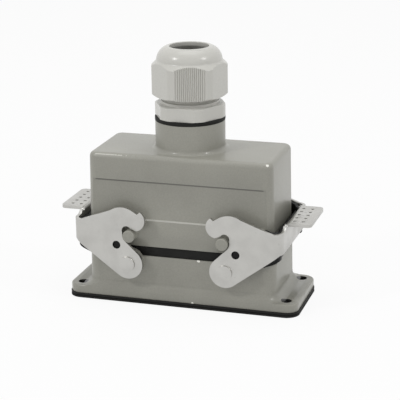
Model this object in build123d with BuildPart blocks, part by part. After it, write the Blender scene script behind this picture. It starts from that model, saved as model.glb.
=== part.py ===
"""Heavy duty rectangular connector, 16-way size, shown mated and locked.

A bulkhead housing on its gasket carries two bent-steel locking levers.
The levers hold down a top-entry hood, and a cable gland closes the hood.
Frame: X along the length, Y across, -Y is the front, +Z up, and the
origin is at the middle of the gasket's underside.
"""
import os
from math import cos, radians, sin, sqrt, tan

from build123d import *

os.makedirs("parts", exist_ok=True)

# Contact grid
contact_count = 8
contact_pitch = 7.5
contact_row = 6.2
contact_clearance = 0.05
barrel_radius = 2.3
barrel_length = 12.0
pin_contact_radius = 1.25
pin_contact_reach = 13.0
socket_radius = 2.0
socket_fit = 0.03
socket_depth = 12.0
socket_sunk = 1.0
wire_radius = 1.3
wire_depth = 7.0

# Contact inserts, from the contact grid outwards
block_end_margin = 6.25
block_side_margin = 8.3
block_height = 15.0
tongue_end_margin = 4.75
tongue_side_margin = 4.1
tongue_height = 16.0
skirt_wall_x = 3.4
skirt_wall_y = 2.1
skirt_clearance = 0.4
skirt_depth = 12.5
insert_plate = 3.0
insert_plate_corner = 2.5
insert_end_margin = 0.4
insert_side_margin = 2.3
female_seat = 5.0
mating_gap = 0.5

# Protective earth plates
earth_plate = 1.2
earth_half_width = 5.0
earth_gap = 0.2
earth_skirt_gap = 0.6
male_blade_length = 11.0
female_blade_length = 13.0
female_foot_length = 6.8
male_foot_length = 6.2
earth_screw_inset = 2.4

# Screws
screw_radius = 2.0
screw_head_radius = 3.4
screw_head_height = 2.4
screw_slot = 0.8
screw_engagement = 10.0
screw_tip_gap = 0.5
hole_clearance = 0.05
small_screw_radius = 1.5
small_head_radius = 2.4
small_head_height = 1.8
terminal_sunk = 0.3
terminal_rise = 7.5
fixing_inset_x = 3.25
fixing_inset_y = 3.3
pillar_height = 11.5
pillar_reach_x = 4.35
pillar_reach_y = 4.1
pillar_root = 0.4

# Panel cut-out round the inserts, which is also the cavity of the housing
cutout_clearance_x = 1.2
cutout_clearance_y = 0.6
cutout_corner = 4.0

# Housing walls, rim and foot
wall_x = 3.5
wall_y = 3.4
wall_corner = 6.5
housing_height = 18.0
foot_radius = 4.0
wall_step = 0.3
draft = 0.8
lip_thickness = 1.15
lip_gap = 0.5

# Bulkhead flange and gasket
flange_reach_x = 10.8
flange_reach_y = 0.7
flange_thickness = 4.0
flange_corner = 6.0
flange_edge = 0.7
hole_inset_x = 6.0
hole_inset_y = 5.5
hole_diameter = 5.0
gasket_thickness = 2.5
gasket_overhang = 0.4
gasket_groove = 0.5

# Seal between the housing and the hood
seal_height = 5.0
seal_inset = 0.3

# Hood
hood_rim_x = 1.65
hood_rim_y = 2.75
hood_corner = 5.0
hood_height = 44.8
hood_top_edge = 2.5
hood_wall = 3.0
rim_clearance = 0.3
rim_pocket = 3.1
roof_thickness = 3.0
band_low = 13.1
band_high = 12.6
panel_recess = 0.6
panel_inset = 3.2
panel_slope = 2.4

# Cable entry neck
neck_wall = 2.65
neck_height = 14.2
neck_foot = 2.3
thread_clearance = 0.05

# Locking pegs on the hood
peg_radius = 3.0
peg_proud = 1.5
peg_chamfer = 0.4
peg_inward = 1.15
peg_rise = 14.1

# Locking levers, measured from the pivot: outward along X and up
pivot_inset = 21.8
pivot_drop = 2.7
sheet = 1.5
plate_gap = 4.0
web_gap = 4.2
bend_radius = 5.0
end_radius = 7.5
end_start_angle = 132.8
lower_edge_slope = 36.5
web_bottom = 10.2
web_top = 20.5
shoulder = (20.9, 21.5)
disc_radius = 3.75
disc_rise = 1.2
stud_radius = 3.0
stud_length = 1.0
stud_gap = 0.1
stud_root = 0.5
stud_clearance = 0.06
boss_radius = 6.8
boss_gap = 0.15
pin_out = 5.35
pin_up = 9.2
pin_radius = 1.95
pin_clearance = 0.05

# Handle tab at the top of each lever
tab_half_width = 14.4
tab_length = 11.0
tab_up = 22.8
tab_bend = 2.4
tab_corner = 2.5
tab_hole_radius = 0.8
tab_hole_pitch = 5.0
tab_hole_inset = 4.7
tab_row_spacing = 4.35
relief_radius = 0.9
root_height = 22.2
root_spread = 6.6

# Plastic insert in each lever
insert_gap = 1.2
insert_seat = 0.05
insert_corner = 2.5
insert_boss_radius = 3.2
cheek_thickness = 2.6
bridge_bottom = 8.4
bridge_slant = 0.6
bridge_top = 18.4
bridge_half_width = 20.0
pin_recess = 0.6
insert_upper_points = ((12.0, 17.0), (19.0, 21.7))
insert_lower_points = ((24.0, 6.0), (19.0, 3.8), (12.0, 3.5))
insert_heel = 7.6

# Cable gland, from the seal's bore outwards
seal_bore = 8.4
seal_wall = 2.75
seal_length = 19.5
seal_sunk = 5.0
seal_clearance = 0.05
claw_wall = 1.2
claw_length = 8.5
claw_count = 12
claw_slot = 1.0
gland_thread_wall = 2.9
gland_lower_length = 12.0
upper_thread_step = 1.0
upper_thread_length = 9.9
gland_collar_step = 0.6
gland_collar_height = 1.3
washer_thickness = 1.9
washer_overhang = 0.1
gland_hex_step = 2.4
gland_corner_rise = 1.3
gland_hex_height = 6.5
gland_hex_chamfer = 0.6
gland_face_angle = 30.0
cap_clearance = 0.3
cap_wall = 2.8
cap_corner_rise = 1.6
cap_gap = 2.1
cap_hex_height = 14.8
cap_foot_chamfer = 0.8
cap_chamfer = 2.3
cap_dome_inset = 0.75
cap_rim = 0.8
cap_height = 23.7
cap_mouth_step = 1.0
cap_mouth_height = 2.0
cap_throat_height = 6.5
cap_face_angle = -72.0
groove_count = 16
groove_pitch = 0.9
groove_width = 0.4
groove_depth = 0.3

# Insert sizes that follow from the contact grid
insert_grid_x = (contact_count - 1) * contact_pitch / 2
block_length = 2 * (insert_grid_x + block_end_margin)
block_width = 2 * (contact_row + block_side_margin)
tongue_length = 2 * (insert_grid_x + tongue_end_margin)
tongue_width = 2 * (contact_row + tongue_side_margin)
skirt_bore_x = tongue_length / 2 + skirt_clearance
skirt_bore_y = tongue_width / 2 + skirt_clearance
skirt_x = skirt_bore_x + skirt_wall_x
skirt_y = skirt_bore_y + skirt_wall_y
earth_blade_x = skirt_x + earth_skirt_gap
male_foot_x = earth_blade_x + male_foot_length
insert_length = 2 * (male_foot_x + insert_end_margin)
insert_width = block_width + 2 * insert_side_margin
fixing_spacing_x = insert_length - 2 * fixing_inset_x
fixing_spacing_y = insert_width - 2 * fixing_inset_y

# Shell sizes that follow from the inserts
cutout_length = insert_length + 2 * cutout_clearance_x
cutout_width = insert_width + 2 * cutout_clearance_y
lip_length = cutout_length + 2 * lip_thickness
lip_width = cutout_width + 2 * lip_thickness
lip_height = seal_height + rim_pocket - lip_gap
wall_length = cutout_length + 2 * wall_x
wall_width = cutout_width + 2 * wall_y
flange_length = wall_length + 2 * flange_reach_x
flange_width = wall_width + 2 * flange_reach_y
hole_spacing_x = flange_length - 2 * hole_inset_x
hole_spacing_y = flange_width - 2 * hole_inset_y
hood_length = lip_length + 2 * hood_rim_x
hood_width = lip_width + 2 * hood_rim_y

# Lever and peg places that follow from the hood
plate_inner = hood_width / 2 + plate_gap
lever_half_width = plate_inner + sheet
peg_end = lever_half_width + peg_proud
pivot_x = hood_length / 2 - pivot_inset
peg_x = pivot_x - peg_inward
web_x = hood_length / 2 + web_gap + sheet
web_out = web_x - pivot_x
tab_out = web_out + tab_length
tab_row_out = tab_out - tab_hole_inset
tab_row_in = tab_row_out - tab_row_spacing

# Gland sizes that follow from the seal's bore
gland_bore = seal_bore + seal_wall + seal_clearance
claw_radius = gland_bore + claw_wall
upper_thread_radius = claw_radius + upper_thread_step
gland_collar_radius = upper_thread_radius + gland_collar_step
gland_thread_radius = gland_bore + gland_thread_wall
neck_radius = gland_thread_radius + thread_clearance + neck_wall
washer_radius = neck_radius + washer_overhang
gland_half_flats = upper_thread_radius + gland_hex_step
gland_corner_radius = gland_half_flats + gland_corner_rise
cap_half_flats = upper_thread_radius + cap_clearance + cap_wall
cap_corner_radius = cap_half_flats + cap_corner_rise
cap_dome_radius = cap_half_flats - cap_dome_inset
cap_opening = seal_bore + cap_mouth_step
cap_top_radius = cap_opening + cap_rim

# Heights that follow from the sizes above
flange_bottom = gasket_thickness
flange_top = flange_bottom + flange_thickness
housing_top = flange_top + housing_height
hood_bottom = housing_top + seal_height
hood_top = hood_bottom + hood_height
neck_top = hood_top + neck_height
pivot_z = housing_top - pivot_drop
peg_z = pivot_z + peg_rise
female_plate_z = housing_top - female_seat
male_plate_z = female_plate_z + insert_plate + tongue_height + mating_gap
draft_drop = hood_height / 2 * tan(radians(draft))
arc_inset = 1 - sqrt(0.5)


def rounded_block(length, width, corner, bottom, top, mode=Mode.ADD):
    """Upright block with rounded vertical corners, from bottom to top."""
    with BuildSketch(Plane.XY.offset(bottom)) as outline:
        RectangleRounded(length, width, corner)
    extrude(outline.sketch, amount=top - bottom, mode=mode)


def upright(radius, bottom, top, mode=Mode.ADD):
    """Upright cylinder from bottom to top at the current location."""
    with Locations((0, 0, bottom)):
        Cylinder(radius, top - bottom, align=(Align.CENTER, Align.CENTER, Align.MIN), mode=mode)


def side_disc(x, z, side, near, far, radius, mode=Mode.ADD):
    """Round boss or bore across the width, between two distances from the middle."""
    plane = Plane(origin=(x, side * near, z), x_dir=(1, 0, 0), z_dir=(0, side, 0))
    with BuildSketch(plane) as disc:
        Circle(radius)
    extrude(disc.sketch, amount=far - near, mode=mode)


def block(x_range, y_range, z_range, mode=Mode.ADD):
    """Box between two values along each axis."""
    size = [high - low for low, high in (x_range, y_range, z_range)]
    middle = [(low + high) / 2 for low, high in (x_range, y_range, z_range)]
    with Locations(tuple(middle)):
        Box(*size, mode=mode)


def corner_pillars(length, width, bottom, top):
    """Four screw pillars in the corners of a cavity, rooted in its walls."""
    for x in (-1, 1):
        for y in (-1, 1):
            inner_x = fixing_spacing_x / 2 - pillar_reach_x
            inner_y = fixing_spacing_y / 2 - pillar_reach_y
            block(sorted((x * inner_x, x * (length / 2 + pillar_root))),
                  sorted((y * inner_y, y * (width / 2 + pillar_root))), (bottom, top))


def hexagon(half_flats, corner_radius, face_angle, bottom, top, mode=Mode.ADD):
    """Upright hexagon with one flat facing the given angle and its corners turned round."""
    with BuildSketch(Plane.XY.offset(bottom)) as outline:
        RegularPolygon(half_flats, 6, major_radius=False, rotation=face_angle + 30)
        Circle(corner_radius, mode=Mode.INTERSECT)
    extrude(outline.sketch, amount=top - bottom, mode=mode)


def screw(radius, length, head_radius, head_height):
    """Slotted screw at the current location, head up and shank down from its seat."""
    Cylinder(radius, length, align=(Align.CENTER, Align.CENTER, Align.MAX))
    Cylinder(head_radius, head_height, align=(Align.CENTER, Align.CENTER, Align.MIN))
    with Locations((0, 0, head_height)):
        Box(2 * head_radius + 1, screw_slot, 2 * screw_slot, mode=Mode.SUBTRACT)


def save(piece, label):
    """Name the finished piece and write its STEP file."""
    piece.part.label = label
    export_step(piece.part, f"parts/{label}.step")


# Flange gasket: one flat rubber frame with a groove round its edge
gasket_length = flange_length + 2 * gasket_overhang
gasket_width = flange_width + 2 * gasket_overhang
with BuildPart() as flange_gasket:
    rounded_block(gasket_length, gasket_width, flange_corner + gasket_overhang, 0, gasket_thickness)
    rounded_block(cutout_length, cutout_width, cutout_corner, 0, gasket_thickness, Mode.SUBTRACT)
    with BuildSketch():
        with GridLocations(hole_spacing_x, hole_spacing_y, 2, 2):
            Circle(hole_diameter / 2)
    extrude(amount=gasket_thickness, mode=Mode.SUBTRACT)
    groove_bottom = (gasket_thickness - gasket_groove) / 2
    with BuildSketch(Plane.XY.offset(groove_bottom)):
        RectangleRounded(gasket_length + 2, gasket_width + 2, flange_corner + gasket_overhang + 1)
        RectangleRounded(gasket_length - 2 * gasket_groove, gasket_width - 2 * gasket_groove,
                         flange_corner, mode=Mode.SUBTRACT)
    extrude(amount=gasket_groove, mode=Mode.SUBTRACT)
save(flange_gasket, "flange_gasket")

# Bulkhead housing: flange, drafted walls, hollow foot, lip and bosses with pivot studs
foot_root = 1.5 * flange_edge
foot_length = wall_length + 2 * wall_step
foot_width = wall_width + 2 * wall_step
with BuildSketch(Plane.XY.offset(flange_top)) as foot_outline:
    RectangleRounded(foot_length, foot_width, wall_corner)
foot_path = foot_outline.sketch.faces()[0].outer_wire()
foot_tangent = foot_path % 0
foot_outward = foot_tangent.cross(Vector(0, 0, 1))
with BuildPart() as foot:
    with BuildSketch(Plane(origin=foot_path @ 0, x_dir=foot_outward, z_dir=-foot_tangent)):
        with BuildLine():
            Polyline((0, foot_radius), (0, -foot_root), (foot_radius, -foot_root), (foot_radius, 0))
            ThreePointArc((foot_radius, 0), (foot_radius * arc_inset, foot_radius * arc_inset),
                          (0, foot_radius))
        make_face()
    sweep(path=foot_path)
    rounded_block(flange_length, flange_width, flange_corner, flange_top - foot_root,
                  flange_top + foot_radius, Mode.INTERSECT)
with BuildPart() as bulkhead_housing:
    rounded_block(flange_length, flange_width, flange_corner, flange_bottom, flange_top)
    fillet(bulkhead_housing.faces().sort_by(Axis.Z)[-1].edges(), flange_edge)
    rounded_block(foot_length, foot_width, wall_corner, flange_bottom, flange_top)
    add(foot.part)
    extrude(foot_outline.sketch, amount=housing_height, taper=draft)
    for x in (-pivot_x, pivot_x):
        for side in (-1, 1):
            side_disc(x, pivot_z, side, cutout_width / 2, plate_inner - boss_gap, boss_radius)
    rounded_block(flange_length, hood_width + 2 * rim_clearance, hood_corner, housing_top,
                  housing_top + lip_height, Mode.SUBTRACT)
    rounded_block(lip_length, lip_width, cutout_corner + lip_thickness, housing_top,
                  housing_top + lip_height)
    rounded_block(cutout_length, cutout_width, cutout_corner, flange_bottom,
                  housing_top + lip_height, Mode.SUBTRACT)
    corner_pillars(cutout_length, cutout_width, female_plate_z - pillar_height, female_plate_z)
    with GridLocations(fixing_spacing_x, fixing_spacing_y, 2, 2):
        upright(screw_radius + hole_clearance, female_plate_z - screw_engagement - screw_tip_gap,
                female_plate_z, Mode.SUBTRACT)
    with GridLocations(hole_spacing_x, hole_spacing_y, 2, 2):
        upright(hole_diameter / 2, flange_bottom, flange_top, Mode.SUBTRACT)
    for x in (-pivot_x, pivot_x):
        for side in (-1, 1):
            side_disc(x, pivot_z, side, plate_inner - boss_gap - stud_root,
                      plate_inner + stud_length, stud_radius)
save(bulkhead_housing, "bulkhead_housing")

# Rim seal: soft frame round the lip, pressed between housing and hood
with BuildPart() as rim_seal:
    rounded_block(wall_length - 2 * seal_inset, wall_width - 2 * seal_inset,
                  wall_corner - seal_inset, housing_top, hood_bottom)
    rounded_block(lip_length, lip_width, cutout_corner + lip_thickness, housing_top,
                  hood_bottom, Mode.SUBTRACT)
save(rim_seal, "rim_seal")

# Hood: drafted shell with a recessed long side, cast pegs and the entry neck
cavity_length = hood_length - 2 * hood_wall
cavity_width = hood_width - 2 * hood_wall
cavity_corner = hood_corner - hood_wall / 2
male_plate_top = male_plate_z + insert_plate
panel_bottom = hood_bottom + band_low
panel_top = hood_top - band_high
panel_y = hood_width / 2 - panel_recess - draft_drop
panel_end = hood_length / 2 - panel_inset
with BuildPart() as hood:
    with BuildSketch(Plane.XY.offset(hood_bottom)) as hood_outline:
        RectangleRounded(hood_length, hood_width, hood_corner)
    extrude(hood_outline.sketch, amount=hood_height, taper=draft)
    fillet(hood.faces().sort_by(Axis.Z)[-1].edges(), hood_top_edge)
    upright(neck_radius, hood_top - roof_thickness, neck_top)
    with BuildSketch(Plane.XZ) as neck_foot_section:
        with BuildLine():
            Polyline((neck_radius, hood_top + neck_foot), (gland_thread_radius, hood_top + neck_foot),
                     (gland_thread_radius, hood_top - hood_top_edge),
                     (neck_radius + neck_foot, hood_top - hood_top_edge), (neck_radius + neck_foot, hood_top))
            ThreePointArc((neck_radius + neck_foot, hood_top),
                          (neck_radius + arc_inset * neck_foot, hood_top + arc_inset * neck_foot),
                          (neck_radius, hood_top + neck_foot))
        make_face()
    revolve(neck_foot_section.sketch, axis=Axis.Z)
    for side in (-1, 1):
        with BuildSketch(Plane.XY.offset(panel_bottom)) as panel_pocket:
            with BuildLine():
                Polyline((-panel_end, side * panel_y), (panel_end, side * panel_y),
                         (panel_end + panel_slope, side * (panel_y + 2 * panel_recess)),
                         (-panel_end - panel_slope, side * (panel_y + 2 * panel_recess)),
                         (-panel_end, side * panel_y))
            make_face()
        extrude(panel_pocket.sketch, amount=panel_top - panel_bottom, mode=Mode.SUBTRACT)
    for x in (-peg_x, peg_x):
        for side in (-1, 1):
            side_disc(x, peg_z, side, cavity_width / 2, peg_end, peg_radius)
    rounded_block(cavity_length, cavity_width, cavity_corner, hood_bottom,
                  hood_top - roof_thickness, Mode.SUBTRACT)
    corner_pillars(cavity_length, cavity_width, male_plate_top, male_plate_top + pillar_height)
    rounded_block(lip_length + 2 * rim_clearance, lip_width + 2 * rim_clearance,
                  cutout_corner + lip_thickness + rim_clearance, hood_bottom,
                  hood_bottom + rim_pocket, Mode.SUBTRACT)
    upright(gland_thread_radius + thread_clearance, hood_top - roof_thickness, neck_top, Mode.SUBTRACT)
    with GridLocations(fixing_spacing_x, fixing_spacing_y, 2, 2):
        upright(screw_radius + hole_clearance, male_plate_top,
                male_plate_top + screw_engagement + screw_tip_gap, Mode.SUBTRACT)
    peg_rims = hood.edges().filter_by(GeomType.CIRCLE).group_by(
        lambda edge: round(abs(edge.center().Y), 2))[-1]
    chamfer(peg_rims, peg_chamfer)
save(hood, "hood")

# Locking levers: a U of sheet cut to the side outline, with a bent tab
lever_plane = Plane(origin=(pivot_x, 0, pivot_z), x_dir=(1, 0, 0), z_dir=(0, -1, 0))
lever_reach = lever_half_width + 1
end_stop_angle = 270 + lower_edge_slope
lower_tangent = (end_radius * sin(radians(lower_edge_slope)), -end_radius * cos(radians(lower_edge_slope)))
web_corner = lower_tangent[0] + (web_bottom - lower_tangent[1]) / tan(radians(lower_edge_slope))
web_inner = web_out - sheet


def from_peg(out, up):
    """Point beside the peg, in the lever's own outward and upward directions."""
    return (out - peg_inward, up + peg_rise)


def on_round_end(angle):
    """Point of the lever's round end at an angle from the outward direction."""
    return (end_radius * cos(radians(angle)), end_radius * sin(radians(angle)))


def lever_outline():
    """Side outline: round end, sloping lower edge, web, shoulder, crown, nose and peg notch."""
    crown_start = from_peg(9.0, 12.3)
    crown_end = from_peg(-1.2, 12.8)
    nick = from_peg(-4.2, 11.0)
    nose_top = from_peg(-5.7, 12.2)
    lobe_bottom = from_peg(-3.6, 2.7)
    notch_mouth = from_peg(-0.7, 3.9)
    notch_side = from_peg(3.4, 1.5)
    notch_end = from_peg(2.1, -2.9)
    with BuildLine() as outline:
        Polyline(lower_tangent, (web_corner, web_bottom), (web_out + 1, web_bottom),
                 (web_out + 1, web_top), (web_inner - bend_radius / 2, web_top), shoulder, crown_start)
        ThreePointArc(crown_start, from_peg(3.8, 14.0), crown_end)
        Polyline(crown_end, nick, nose_top)
        ThreePointArc(nose_top, from_peg(-7.9, 7.5), lobe_bottom)
        ThreePointArc(lobe_bottom, from_peg(-2.2, 3.15), notch_mouth)
        ThreePointArc(notch_mouth, from_peg(1.8, 4.8), notch_side)
        ThreePointArc(notch_side, from_peg(3.3, -0.9), notch_end)
        Line(notch_end, on_round_end(end_start_angle))
        ThreePointArc(on_round_end(end_start_angle),
                      on_round_end((end_start_angle + end_stop_angle) / 2), lower_tangent)
    make_face(outline.edges())


def tab_outline():
    """Sheet section from the web through its bend to the end of the tab."""
    bend_x = web_inner + tab_bend
    bend_z = tab_up - tab_bend
    half = sqrt(0.5)
    with BuildLine() as outline:
        Polyline((web_out, bend_z), (web_out, web_top - sheet), (web_inner, web_top - sheet),
                 (web_inner, bend_z))
        ThreePointArc((web_inner, bend_z), (bend_x - half * tab_bend, bend_z + half * tab_bend),
                      (bend_x, tab_up))
        Polyline((bend_x, tab_up), (tab_out, tab_up), (tab_out, tab_up - sheet),
                 (bend_x, tab_up - sheet))
        ThreePointArc((bend_x, tab_up - sheet),
                      (bend_x - half * (tab_bend - sheet), bend_z + half * (tab_bend - sheet)),
                      (web_out, bend_z))
    make_face(outline.edges())


def root_outline():
    """One rising shoulder of the web beside the tab, with its relief notch."""
    inner = tab_half_width - relief_radius
    notch_far = tab_half_width + 2 * relief_radius
    foot = tab_half_width + root_spread
    with BuildLine() as outline:
        Polyline((foot, web_top), (foot, web_top - sheet), (inner, web_top - sheet),
                 (inner, root_height), (tab_half_width, root_height))
        ThreePointArc((tab_half_width, root_height),
                      (tab_half_width + relief_radius, root_height - relief_radius),
                      (notch_far, root_height))
        Line((notch_far, root_height), (notch_far + relief_radius, root_height))
        ThreePointArc((notch_far + relief_radius, root_height),
                      (notch_far + 0.4 * (foot - notch_far) + relief_radius / 2,
                       web_top + 0.25 * (root_height - web_top)), (foot, web_top))
    make_face(outline.edges())


with BuildPart() as lever_tab:
    with BuildSketch(lever_plane):
        tab_outline()
    extrude(amount=tab_half_width, both=True)
    fillet(lever_tab.edges().filter_by(Axis.Z).sort_by(Axis.X)[-2:], tab_corner)
    for side in (-1, 1):
        with BuildSketch(Plane(origin=(web_x - sheet, 0, pivot_z), x_dir=(0, side, 0), z_dir=(side, 0, 0))):
            root_outline()
        extrude(amount=side * sheet)
    for row in (tab_row_in, tab_row_out):
        with Locations((pivot_x + row, 0, pivot_z + tab_up)):
            with GridLocations(0, tab_hole_pitch, 1, 5):
                Cylinder(tab_hole_radius, 3 * sheet, mode=Mode.SUBTRACT)

with BuildPart() as lever_right:
    with BuildSketch(Plane.XY.offset(pivot_z - end_radius)):
        RectangleRounded(2 * web_x, 2 * lever_half_width, bend_radius)
        RectangleRounded(2 * (web_x - sheet), 2 * plate_inner, bend_radius - sheet, mode=Mode.SUBTRACT)
    extrude(amount=2 * (peg_rise + end_radius))
    with BuildSketch(lever_plane) as lever_side:
        lever_outline()
    extrude(lever_side.sketch, amount=lever_reach, both=True, mode=Mode.INTERSECT)
    add(lever_tab.part)
    for side in (-1, 1):
        side_disc(pivot_x, pivot_z, side, plate_inner, lever_half_width + disc_rise, disc_radius)
        side_disc(pivot_x, pivot_z, side, plate_inner, plate_inner + stud_length + stud_gap,
                  stud_radius + stud_clearance, Mode.SUBTRACT)
        side_disc(pivot_x + pin_out, pivot_z + pin_up, side, plate_inner, lever_half_width,
                  pin_radius + pin_clearance, Mode.SUBTRACT)
save(lever_right, "lever_right")

with BuildPart() as lever_left:
    mirror(lever_right.part, about=Plane.YZ)
save(lever_left, "lever_left")

# Plastic insert of each lever: cheeks inside the plates, a bridge inside the web, two pins
insert_x = web_x - sheet - insert_seat
insert_y = plate_inner - insert_seat
bridge_x = hood_length / 2 + insert_gap
with BuildPart() as lever_right_insert:
    with BuildSketch(Plane.XY.offset(pivot_z)):
        RectangleRounded(2 * insert_x, 2 * insert_y, bend_radius - sheet - insert_seat)
        RectangleRounded(2 * bridge_x, 2 * (insert_y - cheek_thickness), insert_corner,
                         mode=Mode.SUBTRACT)
    extrude(amount=tab_up + 1)
    with BuildSketch(lever_plane) as insert_side:
        with BuildLine():
            Polyline((pin_out, pin_up + insert_boss_radius), *insert_upper_points,
                     (web_out, bridge_top), (web_out, insert_heel), *insert_lower_points,
                     (pin_out, pin_up - insert_boss_radius), (pin_out, pin_up + insert_boss_radius))
        make_face()
        with Locations((pin_out, pin_up)):
            Circle(insert_boss_radius)
    extrude(insert_side.sketch, amount=lever_reach, both=True, mode=Mode.INTERSECT)
    with BuildSketch(lever_plane) as under_bridge:
        with BuildLine():
            Polyline((insert_x - pivot_x + 1, bridge_bottom - bridge_slant),
                     (bridge_x - pivot_x, bridge_bottom), (bridge_x - pivot_x - 1, bridge_bottom),
                     (bridge_x - pivot_x - 1, 0), (insert_x - pivot_x + 1, 0),
                     (insert_x - pivot_x + 1, bridge_bottom - bridge_slant))
        make_face()
    extrude(under_bridge.sketch, amount=bridge_half_width, both=True, mode=Mode.SUBTRACT)
    block((bridge_x - 1, insert_x + 1), (-bridge_half_width, bridge_half_width),
          (pivot_z + bridge_top, pivot_z + tab_up), Mode.SUBTRACT)
    for side in (-1, 1):
        side_disc(pivot_x + pin_out, pivot_z + pin_up, side, insert_y - cheek_thickness,
                  lever_half_width - pin_recess, pin_radius)
save(lever_right_insert, "lever_right_insert")

with BuildPart() as lever_left_insert:
    mirror(lever_right_insert.part, about=Plane.YZ)
save(lever_left_insert, "lever_left_insert")

# Cable gland: washer, threaded body with claws, seal bush and domed cap nut
hex_bottom = neck_top + washer_thickness
hex_top = hex_bottom + gland_hex_height
collar_top = hex_top + gland_collar_height
upper_thread_top = collar_top + upper_thread_length
claw_top = upper_thread_top + claw_length
cap_bottom = collar_top + cap_gap
cap_top = cap_bottom + cap_height

with BuildPart() as gland_washer:
    upright(washer_radius, neck_top, hex_bottom)
    upright(gland_thread_radius + thread_clearance, neck_top, hex_bottom, Mode.SUBTRACT)
save(gland_washer, "gland_washer")

with BuildPart() as gland_body:
    hexagon(gland_half_flats, gland_corner_radius, gland_face_angle, hex_bottom, hex_top)
    with BuildSketch(Plane.XZ) as gland_blank:
        with BuildLine():
            Polyline((0, hex_bottom), (gland_corner_radius, hex_bottom),
                     (gland_corner_radius, hex_top - gland_hex_chamfer),
                     (gland_half_flats, hex_top), (0, hex_top), (0, hex_bottom))
        make_face()
    revolve(gland_blank.sketch, axis=Axis.Z, mode=Mode.INTERSECT)
    upright(gland_thread_radius, neck_top - gland_lower_length, hex_bottom)
    upright(gland_collar_radius, hex_top, collar_top)
    upright(upper_thread_radius, collar_top, upper_thread_top)
    upright(claw_radius, upper_thread_top, claw_top)
    upright(gland_bore, neck_top - gland_lower_length, claw_top, Mode.SUBTRACT)
    with PolarLocations(claw_radius, claw_count):
        with Locations((0, 0, upper_thread_top)):
            Box(claw_radius - gland_bore + 3, claw_slot, 2 * claw_length + 1, mode=Mode.SUBTRACT,
                align=(Align.CENTER, Align.CENTER, Align.MIN))
save(gland_body, "gland_body")

with BuildPart() as gland_seal_bush:
    upright(gland_bore - seal_clearance, cap_top - seal_sunk - seal_length, cap_top - seal_sunk)
    upright(seal_bore, cap_top - seal_sunk - seal_length, cap_top - seal_sunk, Mode.SUBTRACT)
save(gland_seal_bush, "gland_seal_bush")

cap_hex_top = cap_bottom + cap_hex_height
dome_bottom = cap_hex_top + cap_chamfer
dome_height = cap_top - dome_bottom
dome_depth = cap_dome_radius - cap_top_radius
dome_middle = (cap_dome_radius - 0.24 * dome_depth, dome_bottom + 0.6 * dome_height)
with BuildPart() as gland_cap_nut:
    with BuildSketch(Plane.XZ):
        with BuildLine():
            Polyline((cap_top_radius, cap_top), (cap_opening, cap_top),
                     (cap_opening, cap_top - cap_mouth_height),
                     (claw_radius + cap_clearance, cap_top - cap_throat_height),
                     (claw_radius + cap_clearance, upper_thread_top + 2 * cap_clearance),
                     (upper_thread_radius + cap_clearance, upper_thread_top + 2 * cap_clearance),
                     (upper_thread_radius + cap_clearance, cap_bottom), (cap_half_flats, cap_bottom),
                     (cap_corner_radius, cap_bottom + cap_foot_chamfer),
                     (cap_corner_radius, cap_hex_top), (cap_dome_radius, dome_bottom))
            ThreePointArc((cap_dome_radius, dome_bottom), dome_middle, (cap_top_radius, cap_top))
        make_face()
    revolve(axis=Axis.Z)
    hexagon(cap_half_flats, cap_corner_radius, cap_face_angle, cap_bottom, cap_top, Mode.INTERSECT)
    for face in range(3):
        plane = Plane.XY.rotated((0, 0, cap_face_angle + 120 * face))
        with Locations(plane.offset(cap_bottom)):
            with Locations((cap_half_flats, 0, 0)):
                with GridLocations(0, groove_pitch, 1, groove_count):
                    Box(2 * groove_depth, groove_width, 2 * cap_hex_height, mode=Mode.SUBTRACT)
save(gland_cap_nut, "gland_cap_nut")

# Female insert: plate on the housing pillars, terminal block below and tongue above
female_plate_top = female_plate_z + insert_plate
female_block_bottom = female_plate_z - block_height
tongue_top = female_plate_top + tongue_height
female_screw_z = female_plate_z - terminal_rise
male_screw_z = male_plate_top + terminal_rise
terminal_seat = block_width / 2 - terminal_sunk - small_head_height


def terminal_planes(height):
    """Seats of the terminal screws along both long sides of a block."""
    return [Plane(origin=(x * contact_pitch - insert_grid_x, side * terminal_seat, height),
                  x_dir=(1, 0, 0), z_dir=(0, side, 0))
            for side in (-1, 1) for x in range(contact_count)]


def terminal_holes(height):
    """Holes for the terminal screws, wider at the head."""
    with Locations(*terminal_planes(height)):
        Cylinder(small_screw_radius + hole_clearance, block_width / 2 - contact_row,
                 align=(Align.CENTER, Align.CENTER, Align.MAX), mode=Mode.SUBTRACT)
        Cylinder(small_head_radius + hole_clearance, block_width / 2,
                 align=(Align.CENTER, Align.CENTER, Align.MIN), mode=Mode.SUBTRACT)


def insert_plate_solid(bottom, screw_x):
    """Insert plate with its four screw holes and the two holes of the earth screws."""
    rounded_block(insert_length, insert_width, insert_plate_corner, bottom, bottom + insert_plate)
    with GridLocations(fixing_spacing_x, fixing_spacing_y, 2, 2):
        upright(screw_radius + hole_clearance, bottom, bottom + insert_plate, Mode.SUBTRACT)
    with GridLocations(2 * screw_x, 0, 2, 1):
        upright(small_screw_radius + hole_clearance, bottom, bottom + insert_plate, Mode.SUBTRACT)


female_blade_x = earth_blade_x + earth_plate + earth_gap
female_foot_x = female_blade_x + earth_plate - female_foot_length
female_earth_screw_x = female_foot_x + earth_screw_inset + hole_clearance
male_earth_screw_x = male_foot_x - earth_screw_inset

with BuildPart() as female_insert:
    insert_plate_solid(female_plate_z, female_earth_screw_x)
    block((-block_length / 2, block_length / 2), (-block_width / 2, block_width / 2),
          (female_block_bottom, female_plate_z))
    block((-tongue_length / 2, tongue_length / 2), (-tongue_width / 2, tongue_width / 2),
          (female_plate_top, tongue_top))
    with GridLocations(contact_pitch, 2 * contact_row, contact_count, 2):
        upright(barrel_radius + contact_clearance, female_block_bottom, female_plate_z, Mode.SUBTRACT)
        upright(socket_radius + contact_clearance, female_plate_z, tongue_top, Mode.SUBTRACT)
    terminal_holes(female_screw_z)
save(female_insert, "female_insert")

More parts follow.
